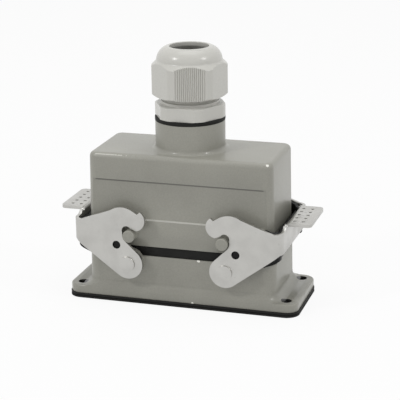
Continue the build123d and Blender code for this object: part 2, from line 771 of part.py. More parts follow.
# Male insert: plate under the hood pillars, skirt round the tongue and terminal block above
male_block_top = male_plate_top + block_height
with BuildPart() as male_insert:
    insert_plate_solid(male_plate_z, male_earth_screw_x)
    block((-block_length / 2, block_length / 2), (-block_width / 2, block_width / 2),
          (male_plate_top, male_block_top))
    block((-skirt_x, skirt_x), (-skirt_y, skirt_y), (male_plate_z - skirt_depth, male_plate_z))
    block((-skirt_bore_x, skirt_bore_x), (-skirt_bore_y, skirt_bore_y),
          (male_plate_z - skirt_depth, male_plate_z), Mode.SUBTRACT)
    with GridLocations(contact_pitch, 2 * contact_row, contact_count, 2):
        upright(barrel_radius + contact_clearance, male_plate_top, male_block_top, Mode.SUBTRACT)
        upright(pin_contact_radius + contact_clearance, male_plate_z, male_plate_top, Mode.SUBTRACT)
    terminal_holes(male_screw_z)
save(male_insert, "male_insert")

# Contacts: a socket or a pin with a wire barrel behind it, two rows of each
socket_top = tongue_top - socket_sunk
female_barrel_bottom = female_plate_z - barrel_length
male_barrel_top = male_plate_top + barrel_length
with BuildPart() as female_contacts:
    with GridLocations(contact_pitch, 2 * contact_row, contact_count, 2):
        upright(socket_radius, female_plate_z, socket_top)
        upright(barrel_radius, female_barrel_bottom, female_plate_z)
        upright(pin_contact_radius + socket_fit, socket_top - socket_depth, socket_top, Mode.SUBTRACT)
        upright(wire_radius, female_barrel_bottom, female_barrel_bottom + wire_depth, Mode.SUBTRACT)
save(female_contacts, "female_contacts")

with BuildPart() as male_contacts:
    with GridLocations(contact_pitch, 2 * contact_row, contact_count, 2):
        upright(pin_contact_radius, male_plate_z - pin_contact_reach, male_plate_top)
        upright(barrel_radius, male_plate_top, male_barrel_top)
        upright(wire_radius, male_barrel_top - wire_depth, male_barrel_top, Mode.SUBTRACT)
save(male_contacts, "male_contacts")

# Terminal screws along both long sides of each block
terminal_length = terminal_seat - contact_row - barrel_radius - 2 * contact_clearance
with BuildPart() as female_terminal_screws:
    with Locations(*terminal_planes(female_screw_z)):
        screw(small_screw_radius, terminal_length, small_head_radius, small_head_height)
save(female_terminal_screws, "female_terminal_screws")

with BuildPart() as male_terminal_screws:
    with Locations(*terminal_planes(male_screw_z)):
        screw(small_screw_radius, terminal_length, small_head_radius, small_head_height)
save(male_terminal_screws, "male_terminal_screws")


def corner_planes(height, upward):
    """Seats of the four fixing screws, facing up or down."""
    return [Plane(origin=(x * fixing_spacing_x / 2, y * fixing_spacing_y / 2, height),
                  x_dir=(1, 0, 0), z_dir=(0, 0, upward)) for x in (-1, 1) for y in (-1, 1)]


# Captive fixing screws of the two inserts
fixing_length = insert_plate + screw_engagement
with BuildPart() as female_fixing_screws:
    with Locations(*corner_planes(female_plate_top, 1)):
        screw(screw_radius, fixing_length, screw_head_radius, screw_head_height)
save(female_fixing_screws, "female_fixing_screws")

with BuildPart() as male_fixing_screws:
    with Locations(*corner_planes(male_plate_z, -1)):
        screw(screw_radius, fixing_length, screw_head_radius, screw_head_height)
save(male_fixing_screws, "male_fixing_screws")

# Protective earth plates: bent strips whose blades lie face to face when mated
blade_y = (-earth_half_width, earth_half_width)
with BuildPart() as female_earth_plates:
    for side in (-1, 1):
        block(sorted((side * female_foot_x, side * (female_blade_x + earth_plate))), blade_y,
              (female_plate_top, female_plate_top + earth_plate))
        block(sorted((side * female_blade_x, side * (female_blade_x + earth_plate))), blade_y,
              (female_plate_top, female_plate_top + female_blade_length))
    with GridLocations(2 * female_earth_screw_x, 0, 2, 1):
        upright(small_screw_radius + hole_clearance, female_plate_top,
                female_plate_top + earth_plate, Mode.SUBTRACT)
save(female_earth_plates, "female_earth_plates")

with BuildPart() as male_earth_plates:
    for side in (-1, 1):
        block(sorted((side * earth_blade_x, side * male_foot_x)), blade_y,
              (male_plate_z - earth_plate, male_plate_z))
        block(sorted((side * earth_blade_x, side * (earth_blade_x + earth_plate))), blade_y,
              (male_plate_z - male_blade_length, male_plate_z))
    with GridLocations(2 * male_earth_screw_x, 0, 2, 1):
        upright(small_screw_radius + hole_clearance, male_plate_z - earth_plate,
                male_plate_z, Mode.SUBTRACT)
save(male_earth_plates, "male_earth_plates")


def earth_planes(screw_x, height, upward):
    """Seats of the two earth screws, facing up or down."""
    return [Plane(origin=(side * screw_x, 0, height), x_dir=(1, 0, 0), z_dir=(0, 0, upward))
            for side in (-1, 1)]


# Earth screws through the plates into the inserts
earth_screw_length = earth_plate + insert_plate - screw_tip_gap
with BuildPart() as female_earth_screws:
    with Locations(*earth_planes(female_earth_screw_x, female_plate_top + earth_plate, 1)):
        screw(small_screw_radius, earth_screw_length, small_head_radius, small_head_height)
save(female_earth_screws, "female_earth_screws")

with BuildPart() as male_earth_screws:
    with Locations(*earth_planes(male_earth_screw_x, male_plate_z - earth_plate, -1)):
        screw(small_screw_radius, earth_screw_length, small_head_radius, small_head_height)
save(male_earth_screws, "male_earth_screws")
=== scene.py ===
"""Studio scene of a heavy duty rectangular connector, mated and locked.

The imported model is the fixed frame. This script gives its pieces their
finishes and replaces the pieces whose looks need finer surfaces: the cast
shells and steel levers with softened edges, the gland with its thread, ribs
and rounded flats, and the rubber seals. Sizes are in millimetres here and
turn into metres where a mesh is made.
"""
import logging
from dataclasses import dataclass
from enum import Enum
from math import cos, radians, sin, tau
from typing import Callable, Sequence

import bmesh
import bpy
import numpy as np
from mathutils import Matrix, Vector


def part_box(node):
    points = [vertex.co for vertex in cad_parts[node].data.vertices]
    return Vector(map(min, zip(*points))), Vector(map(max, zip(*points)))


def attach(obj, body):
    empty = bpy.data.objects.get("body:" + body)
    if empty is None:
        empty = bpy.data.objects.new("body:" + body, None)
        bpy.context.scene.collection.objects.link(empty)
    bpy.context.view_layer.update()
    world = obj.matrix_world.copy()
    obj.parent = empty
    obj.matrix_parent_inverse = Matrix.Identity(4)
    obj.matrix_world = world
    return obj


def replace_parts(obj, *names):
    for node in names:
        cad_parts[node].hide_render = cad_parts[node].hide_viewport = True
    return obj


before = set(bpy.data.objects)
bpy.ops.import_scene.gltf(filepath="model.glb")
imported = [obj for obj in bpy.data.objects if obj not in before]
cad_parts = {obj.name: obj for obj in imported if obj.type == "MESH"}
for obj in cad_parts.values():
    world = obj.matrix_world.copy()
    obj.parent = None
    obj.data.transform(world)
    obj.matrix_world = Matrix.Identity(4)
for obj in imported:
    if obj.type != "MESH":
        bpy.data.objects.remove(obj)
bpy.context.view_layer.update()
MM = 0.001
LOG = logging.getLogger("connector")

# Colour sockets of a Mix node: its two inputs and its result
MIX_FIRST, MIX_SECOND, MIX_RESULT = 6, 7, 2

# Points closer than this, in metres, are one: in a new mesh, and in a copy of a CAD mesh
POINT_GAP = 1e-7
COPY_GAP = 2e-6

# Turns in degrees: flat enough to join faces, sharp enough to round off, and shaded smooth up to here
FLAT_TURN = 0.6
SHARP_TURN = 38.0
SMOOTH_TURN = 32.0
EDGE_FACES = 2


class Body(Enum):
    """Rigid bodies of the connector."""

    HOUSING = "housing"
    LEFT_LEVER = "left_lever"
    RIGHT_LEVER = "right_lever"
    CAP_NUT = "cap_nut"


class Slot(Enum):
    """Material slots of the record, named beside the gland's pieces but not read."""

    PAINT = "grey_paint"
    RUBBER = "black_rubber"
    LEVER = "lever_steel"
    BLACK_PLASTIC = "black_plastic"
    GLAND = "gland_plastic"
    INSERT = "insert_plastic"


# Node trees


class Graph:
    """One material's node tree, with short calls for the nodes the finishes share."""

    def __init__(self, name: str) -> None:
        """Start an empty material.

        Args:
            name: The material's name.
        """
        self.material = bpy.data.materials.new(name)
        self.material.use_nodes = True
        self.tree = self.material.node_tree
        self.tree.nodes.clear()
        self.place = self.node("ShaderNodeTexCoord").outputs["Object"]

    def node(self, kind: str, **settings: object) -> bpy.types.Node:
        """Add a node and set its plain properties.

        Args:
            kind: The node's Blender type.
            settings: Properties of the node by name.

        Returns:
            The new node.
        """
        made = self.tree.nodes.new(kind)
        for key, value in settings.items():
            setattr(made, key, value)
        return made

    def feed(self, socket: bpy.types.NodeSocket, value: object) -> None:
        """Link a socket to another, or set its value.

        Args:
            socket: The input to fill.
            value: An output socket to link, or a plain value.
        """
        if isinstance(value, bpy.types.NodeSocket):
            self.tree.links.new(value, socket)
        else:
            socket.default_value = value

    def math(self, operation: str, *values: object) -> bpy.types.NodeSocket:
        """Result of a Math node.

        Args:
            operation: The node's operation.
            values: Its inputs in order, as numbers or sockets.

        Returns:
            The result.
        """
        made = self.node("ShaderNodeMath", operation=operation)
        for socket, value in zip(made.inputs, values):
            self.feed(socket, value)
        return made.outputs[0]

    def vector(self, operation: str, first: bpy.types.NodeSocket,
               second: tuple[float, float, float] = (0.0, 0.0, 0.0)) -> bpy.types.Node:
        """Vector Math node on a place and a fixed vector.

        Args:
            operation: The node's operation.
            first: The place.
            second: The fixed vector, where the operation takes one.

        Returns:
            The node.
        """
        made = self.node("ShaderNodeVectorMath", operation=operation)
        self.feed(made.inputs[0], first)
        made.inputs[1].default_value = second
        return made

    def axes(self, place: bpy.types.NodeSocket) -> bpy.types.NodeOutputs:
        """Outputs X, Y and Z of a place."""
        split = self.node("ShaderNodeSeparateXYZ")
        self.feed(split.inputs[0], place)
        return split.outputs

    def stretched(self, scale: Sequence[float]) -> bpy.types.NodeSocket:
        """Object coordinates stretched along each axis.

        Args:
            scale: Factor along X, Y and Z.

        Returns:
            The stretched coordinates.
        """
        made = self.node("ShaderNodeMapping")
        self.feed(made.inputs["Vector"], self.place)
        made.inputs["Scale"].default_value = scale
        return made.outputs["Vector"]

    def noise(self, scale: float, detail: float = 2.0, place: bpy.types.NodeSocket | None = None,
              distortion: float = 0.0) -> bpy.types.NodeSocket:
        """Smooth noise between 0 and 1.

        Args:
            scale: Features per metre.
            detail: Finer layers on top of the first.
            place: Coordinates to read, object coordinates where none are given.
            distortion: How far the features are drawn out of shape.

        Returns:
            The noise.
        """
        made = self.node("ShaderNodeTexNoise")
        self.feed(made.inputs["Vector"], place or self.place)
        made.inputs["Scale"].default_value = scale
        made.inputs["Detail"].default_value = detail
        made.inputs["Distortion"].default_value = distortion
        return made.outputs["Fac"]

    def span(self, value: bpy.types.NodeSocket, low: float, high: float, to_low: float = 0.0,
             to_high: float = 1.0) -> bpy.types.NodeSocket:
        """Value carried smoothly from one range to another.

        Args:
            value: The value.
            low: Start of its range.
            high: End of its range.
            to_low: Result at the start and before it.
            to_high: Result at the end and past it.

        Returns:
            The value in the new range.
        """
        made = self.node("ShaderNodeMapRange", interpolation_type="SMOOTHSTEP")
        for key, number in (("From Min", low), ("From Max", high), ("To Min", to_low), ("To Max", to_high)):
            made.inputs[key].default_value = number
        self.feed(made.inputs["Value"], value)
        return made.outputs["Result"]

    def blend(self, share: bpy.types.NodeSocket, first: object, second: object) -> bpy.types.NodeSocket:
        """Colour between two colours.

        Args:
            share: 0 for the first colour, 1 for the second.
            first: The first colour, as a value or a socket.
            second: The second colour, as a value or a socket.

        Returns:
            The colour.
        """
        made = self.node("ShaderNodeMix", data_type="RGBA")
        self.feed(made.inputs["Factor"], share)
        self.feed(made.inputs[MIX_FIRST], first)
        self.feed(made.inputs[MIX_SECOND], second)
        return made.outputs[MIX_RESULT]

    def bump(self, height: bpy.types.NodeSocket, depth: float, strength: float = 1.0,
             under: bpy.types.NodeSocket | None = None) -> bpy.types.NodeSocket:
        """Normal of a height field.

        Args:
            height: The field, from 0 to 1.
            depth: What its full range measures, in millimetres.
            strength: Share of the bump that is used.
            under: Normal of a coarser bump below this one.

        Returns:
            The normal.
        """
        made = self.node("ShaderNodeBump")
        made.inputs["Strength"].default_value = strength
        made.inputs["Distance"].default_value = depth * MM
        self.feed(made.inputs["Height"], height)
        if under is not None:
            self.feed(made.inputs["Normal"], under)
        return made.outputs["Normal"]

    def near(self, spots: Sequence[tuple[float, float, float, float]]) -> bpy.types.NodeSocket:
        """Ragged mask, 1 inside any of the given balls.

        Args:
            spots: Centre and radius of each ball, in millimetres.

        Returns:
            The union of the balls' masks, with edges broken up by fine noise.
        """
        ragged = self.noise(2600.0, 3.0)
        total = None
        for x, y, z, radius in spots:
            gap = self.vector("DISTANCE", self.place, (x * MM, y * MM, z * MM))
            reach = self.math("MULTIPLY_ADD", ragged, -radius * MM, gap.outputs["Value"])
            mask = self.span(reach, 0.2 * radius * MM, 0.45 * radius * MM, 1.0, 0.0)
            total = mask if total is None else self.math("MAXIMUM", total, mask)
        return total

    def streak(self, run: tuple[float, float], y: float, z: float, radius: float) -> bpy.types.NodeSocket:
        """Broken mask along a line in X, dense at its start and thinning out to its end.

        Args:
            run: Where the streak starts and ends along X, in millimetres.
            y: The line's place across, in millimetres.
            z: The line's height, in millimetres.
            radius: Half the streak's width, in millimetres.

        Returns:
            The mask, 1 on the streak.
        """
        gap = self.vector("DISTANCE", self.stretched((0.0, 1.0, 1.0)), (0.0, y * MM, z * MM))
        close = self.span(gap.outputs["Value"], 0.5 * radius * MM, radius * MM, 1.0, 0.0)
        along = self.axes(self.place)["X"]
        start, end = (value * MM for value in run)
        inside = self.span(along, start - 0.5 * MM, start + 0.5 * MM)
        fading = self.span(along, start, end, 0.45, -0.05)
        dense = self.math("ADD", self.noise(900.0, 3.0), fading)
        broken = self.span(dense, 0.62, 0.72)
        return self.math("MULTIPLY", self.math("MULTIPLY", close, inside), broken)

    def mirrored(self) -> bpy.types.NodeSocket:
        """Object coordinates without their signs."""
        return self.vector("ABSOLUTE", self.place).outputs[0]

    def ledge(self, half_run: float, z: float, radius: float) -> bpy.types.NodeSocket:
        """Mask of a level line along both long sides.

        Args:
            half_run: How far the line runs from the middle along X, in millimetres.
            z: The line's height, in millimetres.
            radius: Half the line's width, in millimetres.

        Returns:
            The mask, 1 on the line.
        """
        far = self.axes(self.mirrored())
        gap = self.math("ABSOLUTE", self.math("SUBTRACT", far["Z"], z * MM))
        close = self.span(gap, 0.4 * radius * MM, radius * MM, 1.0, 0.0)
        inside = self.span(far["X"], (half_run - 0.5) * MM, (half_run + 0.5) * MM, 1.0, 0.0)
        return self.math("MULTIPLY", close, inside)

    def bores(self, x: float, y: float, radius: float) -> bpy.types.NodeSocket:
        """Mask of four upright holes, mirrored about both middle planes.

        Args:
            x: Their distance from the middle along X, in millimetres.
            y: Their distance from the middle along Y, in millimetres.
            radius: How far the mask reaches from a hole's axis, in millimetres.

        Returns:
            The mask, 1 inside the holes.
        """
        flat = self.vector("MULTIPLY", self.mirrored(), (1.0, 1.0, 0.0))
        gap = self.vector("DISTANCE", flat.outputs[0], (x * MM, y * MM, 0.0))
        return self.math("LESS_THAN", gap.outputs["Value"], radius * MM)

    def finish(self, **inputs: object) -> bpy.types.Material:
        """Close the tree with a Principled shader.

        Args:
            inputs: The shader's inputs by name, with spaces as underscores.

        Returns:
            The finished material.
        """
        shader = self.node("ShaderNodeBsdfPrincipled")
        for key, value in inputs.items():
            self.feed(shader.inputs[key.replace("_", " ")], value)
        out = self.node("ShaderNodeOutputMaterial")
        self.tree.links.new(shader.outputs[0], out.inputs["Surface"])
        return self.material


def rgb(*levels: float) -> tuple[float, float, float, float]:
    """Linear colour of display levels.

    Args:
        levels: Red, green and blue from 0 to 255.

    Returns:
        Linear red, green and blue, and an alpha of 1.
    """
    share = np.array(levels) / 255.0
    linear = np.where(share <= 0.04045, share / 12.92, ((share + 0.055) / 1.055) ** 2.4)
    return (*(float(v) for v in linear), 1.0)


# Finishes


@dataclass(frozen=True)
class CastPaint:
    """Grey powder coat on a die casting.

    It carries two small chips down to pale primer, a pale spot and a broken
    streak on the hood's top edge that are painted highlights, painted shade
    along the upper edge of the recessed panels, a painted highlight along
    their lower edge, and painted shade in the fixing holes.
    """

    name: str = "cast_grey_paint"
    tone: tuple[int, int, int] = (142, 141, 132)
    mottle: float = 0.035
    # Pale primer in the two chips, also used for the painted highlights on the hood's top edge
    chip_and_highlight_tone: tuple[int, int, int] = (238, 237, 228)
    # Painted shade in a line under the step at the top of the recessed panels
    step_shade_tone: tuple[int, int, int] = (70, 69, 64)
    # Painted shade inside the flange's fixing holes
    hole_shade_tone: tuple[int, int, int] = (24, 24, 22)
    # Painted highlight along the upward facing ledge at the foot of the recessed panels
    ledge_highlight_tone: tuple[int, int, int] = (186, 185, 178)
    grain_scale: float = 1500.0
    cloud_scale: float = 45.0
    peel_scale: float = 2300.0
    peel_depth: float = 0.02
    chip_depth: float = 0.08
    panel_run: float = 41.5
    panel_top: float = 61.35
    panel_bottom: float = 42.7
    step_shade_radius: float = 0.55
    step_shade_share: float = 0.7
    ledge_highlight_radius: float = 0.4
    holes: tuple[float, float, float] = (51.5, 16.0, 2.58)
    gloss: float = 0.44
    skin_gloss: float = 0.16
    skin_share: float = 0.4
    # The first two spots are chips on the housing's rim and flange edge; the third, on the hood's front right
    # top corner, is a painted highlight
    chip_and_highlight_spots: tuple[tuple[float, float, float, float], ...] = (
        (9.6, -20.8, 24.3, 0.9), (6.4, -21.5, 2.7, 0.7), (43.1, -19.5, 73.5, 0.8))
    # The broken streak along the hood's front top edge is a painted highlight
    highlight_streak_run: tuple[float, float] = (-41.5, -17.0)
    highlight_streak_place: tuple[float, float] = (-19.6, 73.3)
    highlight_streak_radius: float = 0.6

    def build(self) -> bpy.types.Material:
        """Make the paint.

        Returns:
            The material.
        """
        graph = Graph(self.name)
        grain = graph.noise(self.grain_scale, 3.0)
        cloud = graph.noise(self.cloud_scale, 2.0)
        light = rgb(*(level * (1 + self.mottle) for level in self.tone))
        dark = rgb(*(level * (1 - self.mottle) for level in self.tone))
        mixed = graph.math("MULTIPLY_ADD", cloud, 0.5, graph.math("MULTIPLY", grain, 0.5))
        mottled = graph.blend(graph.span(mixed, 0.3, 0.7), dark, light)
        # Mask of the two chips and of the painted highlights on the hood's top edge
        chips_and_highlights = graph.math("MAXIMUM", graph.near(self.chip_and_highlight_spots),
                          graph.streak(self.highlight_streak_run, *self.highlight_streak_place, self.highlight_streak_radius))
        # Painted shade under the step at the top of the recessed panels
        upper = graph.ledge(self.panel_run, self.panel_top, self.step_shade_radius)
        # Mask of the painted highlight along the ledge at the panels' foot
        lower = graph.ledge(self.panel_run, self.panel_bottom, self.ledge_highlight_radius)
        shaded = graph.blend(graph.math("MULTIPLY", upper, self.step_shade_share), mottled, rgb(*self.step_shade_tone))
        edged = graph.blend(lower, shaded, rgb(*self.ledge_highlight_tone))
        # Painted shade in the fixing holes
        bored = graph.blend(graph.bores(*self.holes), edged, rgb(*self.hole_shade_tone))
        colour = graph.blend(chips_and_highlights, bored, rgb(*self.chip_and_highlight_tone))
        rough = graph.span(grain, 0.25, 0.75, self.gloss - 0.06, self.gloss + 0.08)
        peel = graph.bump(graph.noise(self.peel_scale, 2.0), self.peel_depth, 0.35)
        normal = graph.bump(chips_and_highlights, self.chip_depth, 0.6, peel)
        return graph.finish(Base_Color=colour, Roughness=rough, Normal=normal, IOR=1.45,
                            Coat_Weight=self.skin_share, Coat_Roughness=self.skin_gloss)


@dataclass(frozen=True)
class SheetMetal:
    """Satin plated sheet or turned metal, with a fine grain one way and faint handling marks."""

    name: str
    tone: tuple[int, int, int]
    gloss: float
    grain_scale: tuple[float, float, float]
    mark_tone: float = 0.9
    wear: float = 0.5
    cloud_scale: float = 140.0
    cloud_tone: float = 0.96
    mark_scale: float = 520.0
    grain_depth: float = 0.012

    def build(self) -> bpy.types.Material:
        """Make the metal.

        Returns:
            The material.
        """
        graph = Graph(self.name)
        grain = graph.noise(1.0, 3.0, graph.stretched(self.grain_scale))
        cloud = graph.noise(self.cloud_scale, 3.0)
        marks = graph.span(graph.noise(self.mark_scale, 5.0, distortion=0.6), 0.66, 0.74, 0.0, self.wear)
        clouded = rgb(*(level * self.cloud_tone for level in self.tone))
        dark = rgb(*(level * self.mark_tone for level in self.tone))
        base = graph.blend(graph.span(cloud, 0.3, 0.75), rgb(*self.tone), clouded)
        colour = graph.blend(marks, base, dark)
        rough = graph.math("ADD", graph.span(cloud, 0.3, 0.7, self.gloss - 0.05, self.gloss + 0.05),
                           graph.math("MULTIPLY", marks, 0.15))
        normal = graph.bump(grain, self.grain_depth, 0.5)
        return graph.finish(Base_Color=colour, Metallic=1.0, Roughness=rough, Normal=normal)


@dataclass(frozen=True)
class Moulded:
    """Moulded rubber or plastic with a fine skin texture and a trace of dust."""

    name: str
    tone: tuple[int, int, int]
    gloss: float
    dust: float = 0.12
    skin: float = 0.03
    index: float = 1.46
    dust_scale: float = 260.0
    dust_lift: int = 70
    skin_scale: float = 3200.0

    def build(self) -> bpy.types.Material:
        """Make the rubber or plastic.

        Returns:
            The material.
        """
        graph = Graph(self.name)
        dusty = graph.span(graph.noise(self.dust_scale, 4.0), 0.45, 0.8, 0.0, self.dust)
        pale = rgb(*(min(255, level + self.dust_lift) for level in self.tone))
        colour = graph.blend(dusty, rgb(*self.tone), pale)
        skin = graph.noise(self.skin_scale, 2.0)
        rough = graph.span(skin, 0.3, 0.7, self.gloss - 0.05, self.gloss + 0.07)
        return graph.finish(Base_Color=colour, Roughness=rough, IOR=self.index,
                            Normal=graph.bump(skin, self.skin, 0.4))


PAINT = CastPaint()
LEVER_STEEL = SheetMetal("lever_plated_steel", (192, 191, 187), 0.36, (150.0, 150.0, 2600.0))
# Brighter, glossier copy of the lever steel on the levers' rounded edges: a painted highlight along their
# rims
LEVER_RIM_HIGHLIGHT = SheetMetal("lever_rim_painted_highlight", (246, 246, 244), 0.3, (150.0, 150.0, 2600.0), wear=0.0)
SILVER = SheetMetal("contact_silver", (214, 209, 196), 0.25, (300.0, 300.0, 2500.0))
ZINC = SheetMetal("screw_zinc", (190, 190, 186), 0.32, (900.0, 900.0, 900.0))
GLAND_PLASTIC = Moulded("gland_grey_plastic", (192, 191, 185), 0.24, dust=0.0, skin=0.012)
RUBBER = Moulded("seal_rubber", (20, 20, 18), 0.6, dust=0.05, index=1.3)
BLACK_PLASTIC = Moulded("lever_insert_plastic", (12, 12, 11), 0.5, dust=0.03, index=1.28)
INSERT_PLASTIC = Moulded("contact_insert_plastic", (196, 194, 184), 0.4, dust=0.05)


# Meshes


@dataclass
class Shell:
    """Closed or open grid of points with its quads, before it becomes a mesh."""

    points: np.ndarray
    quads: np.ndarray

    @classmethod
    def from_grid(cls, grid: np.ndarray, close_rows: bool, close_columns: bool) -> "Shell":
        """Join a grid of points into quads.

        Each quad takes point (i, j) and its neighbours one row and one column on,
        with the last row or column joined to the first where it is closed.

        Args:
            grid: Points shaped (rows, columns, 3), in millimetres.
            close_rows: Whether the last row joins the first.
            close_columns: Whether the last column joins the first.

        Returns:
            The shell.
        """
        rows, columns = grid.shape[:2]
        i, j = np.meshgrid(np.arange(rows if close_rows else rows - 1),
                           np.arange(columns if close_columns else columns - 1), indexing="ij")
        i2, j2 = (i + 1) % rows, (j + 1) % columns
        quads = np.stack([i * columns + j, i * columns + j2, i2 * columns + j2, i2 * columns + j], -1)
        return cls(grid.reshape(-1, 3), quads.reshape(-1, 4))


def mesh_object(name: str, shells: Sequence[Shell]) -> bpy.types.Object:
    """Object holding several shells in one mesh, its faces turned outwards.

    Args:
        name: The object's name.
        shells: The shells, in millimetres.

    Returns:
        The object, at the origin and in metres.
    """
    starts = np.cumsum([0] + [len(shell.points) for shell in shells[:-1]])
    points = np.concatenate([shell.points for shell in shells]) * MM
    quads = np.concatenate([shell.quads + start for shell, start in zip(shells, starts)])
    mesh = bpy.data.meshes.new(name)
    mesh.vertices.add(len(points))
    mesh.vertices.foreach_set("co", points.astype(np.float32).ravel())
    mesh.loops.add(quads.size)
    mesh.loops.foreach_set("vertex_index", quads.astype(np.int32).ravel())
    mesh.polygons.add(len(quads))
    mesh.polygons.foreach_set("loop_start", np.arange(0, quads.size, 4, dtype=np.int32))
    mesh.update(calc_edges=True)
    work = bmesh.new()
    work.from_mesh(mesh)
    bmesh.ops.remove_doubles(work, verts=work.verts, dist=POINT_GAP)
    bmesh.ops.recalc_face_normals(work, faces=work.faces)
    work.to_mesh(mesh)
    work.free()
    piece = bpy.data.objects.new(name, mesh)
    bpy.context.scene.collection.objects.link(piece)
    smooth(piece)
    return piece


def smooth(piece: bpy.types.Object) -> None:
    """Shade a piece smooth, keeping its sharper edges."""
    piece.data.shade_smooth()
    piece.data.set_sharp_from_angle(angle=radians(SMOOTH_TURN))


def rounded_loop(corners: Sequence[tuple[float, float, float]], count: int = 5) -> np.ndarray:
    """Closed outline with each corner rounded off.

    Each corner c is replaced by the quadratic curve from a point a on the side
    before it to a point b on the side after it, both its reach away, with c as
    the control point: (1-t)^2 a + 2t(1-t) c + t^2 b.

    Args:
        corners: Radius, height and reach of each corner in order.
        count: Points along each rounded corner.

    Returns:
        Points shaped (corners * count, 2).
    """
    table = np.asarray(corners, float)
    at, far = table[:, :2], table[:, 2:]
    back, ahead = np.roll(at, 1, 0) - at, np.roll(at, -1, 0) - at
    start = at + back / np.linalg.norm(back, axis=1)[:, None] * far
    stop = at + ahead / np.linalg.norm(ahead, axis=1)[:, None] * far
    t = np.linspace(0.0, 1.0, count)[None, :, None]
    curve = (1 - t) ** 2 * start[:, None] + 2 * t * (1 - t) * at[:, None] + t**2 * stop[:, None]
    return curve.reshape(-1, 2)


def finer(loop: np.ndarray, step: float, wall: float = 0.0) -> np.ndarray:
    """Closed outline with points added so that none is further than a step from the next.

    Args:
        loop: Points shaped (n, 2).
        step: Largest distance between neighbours.
        wall: Radius within which the outline is a plain bore and gets no points.

    Returns:
        The same outline with its own points kept and others spread evenly between them.
    """
    closed = np.vstack([loop, loop[:1]])
    lengths = np.linalg.norm(np.diff(closed, axis=0), axis=1)
    shaped = np.maximum(closed[:-1, 0], closed[1:, 0]) > wall
    counts = np.where(shaped, np.maximum(1, np.ceil(lengths / step)), 1).astype(int)
    index = np.repeat(np.arange(len(loop)), counts)
    passed = np.repeat(np.cumsum(counts) - counts, counts)
    share = (np.arange(counts.sum()) - passed) / np.repeat(counts, counts)
    return closed[index] + (closed[index + 1] - closed[index]) * share[:, None]


def turned(loop: np.ndarray, angles: np.ndarray,
           shape: Callable[[np.ndarray, np.ndarray, np.ndarray], np.ndarray] | None = None) -> Shell:
    """Closed outline turned about the upright axis.

    Point (i, j) is (r cos a_j, r sin a_j, z_i), where r is the outline's radius,
    or what shape makes of the outline's radius, the height and the angle.

    Args:
        loop: Radius and height of each outline point.
        angles: The angles in radians, once round.
        shape: Optional radius of (radius, height, angle) grids.

    Returns:
        The closed shell.
    """
    radius = np.repeat(loop[:, :1], len(angles), 1)
    height = np.repeat(loop[:, 1:], len(angles), 1)
    angle = np.repeat(angles[None, :], len(loop), 0)
    if shape is not None:
        radius = shape(radius, height, angle)
    grid = np.stack([radius * np.cos(angle), radius * np.sin(angle), height], -1)
    return Shell.from_grid(grid, True, True)


def round_turn(count: int) -> np.ndarray:
    """Evenly spread angles, once round."""
    return np.arange(count) * tau / count


def soft_least(first: np.ndarray, second: np.ndarray, blend: float) -> np.ndarray:
    """Smaller of two fields, rounded where they cross.

    With h = max(blend - |first - second|, 0) / blend the result is
    min(first, second) - h^2 * blend / 4.

    Args:
        first: One field.
        second: The other field.
        blend: Difference between the fields below which the rounding starts.

    Returns:
        The rounded smaller field.
    """
    h = np.maximum(blend - np.abs(first - second), 0.0) / blend
    return np.minimum(first, second) - h * h * blend / 4


def softened(node: str, width: float, *materials: bpy.types.Material) -> bpy.types.Object:
    """Copy of a CAD piece with its sharp edges rounded off, which stands for that piece.

    Args:
        node: The CAD node.
        width: Width of the rounding, in millimetres.
        materials: The piece's finish, and the finish of its rounded edges where that differs.

    Returns:
        The new object.
    """
    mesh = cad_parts[node].data.copy()
    work = bmesh.new()
    work.from_mesh(mesh)
    bmesh.ops.remove_doubles(work, verts=work.verts, dist=COPY_GAP)
    bmesh.ops.dissolve_limit(work, angle_limit=radians(FLAT_TURN), verts=work.verts, edges=work.edges)
    work.to_mesh(mesh)
    work.free()
    mesh.materials.clear()
    for material in materials:
        mesh.materials.append(material)
    piece = bpy.data.objects.new(f"{node}_soft_edged", mesh)
    bpy.context.scene.collection.objects.link(piece)
    bevel = piece.modifiers.new("rounded_edges", "BEVEL")
    bevel.width = width * MM
    bevel.segments = EDGE_FACES
    bevel.limit_method = "ANGLE"
    bevel.angle_limit = radians(SHARP_TURN)
    bevel.material = len(materials) - 1
    bevel.use_clamp_overlap = True
    bevel.harden_normals = False
    baked = bpy.data.meshes.new_from_object(piece.evaluated_get(bpy.context.evaluated_depsgraph_get()))
    piece.modifiers.clear()
    piece.data = baked
    smooth(piece)
    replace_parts(piece, node)
    return piece


def dress(piece: bpy.types.Object, material: bpy.types.Material) -> None:
    """Give every face of a piece one material."""
    piece.data.materials.clear()
    piece.data.materials.append(material)


def dress_node(node: str, material: bpy.types.Material) -> None:
    """Give a CAD piece a finish through its material slots.

    Args:
        node: The CAD node.
        material: The finish.
    """
    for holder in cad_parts[node].material_slots:
        holder.material = material
    LOG.info("dressed %s", node)


def settle(piece: bpy.types.Object, body: Body) -> None:
    """Attach a new piece to the body it moves with, and log it.

    Args:
        piece: The piece.
        body: The body it rides on.
    """
    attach(piece, body.value)
    LOG.info("made %s: %d faces", piece.name, len(piece.data.polygons))


# Sub-assemblies


@dataclass
class CastShells:
    """Hood and bulkhead housing, die cast and painted."""

    edge: float = 0.18

    def build(self) -> None:
        """Make both shells with softened edges."""
        paint = PAINT.build()
        for node in ("hood", "bulkhead_housing"):
            settle(softened(node, self.edge, paint), Body.HOUSING)


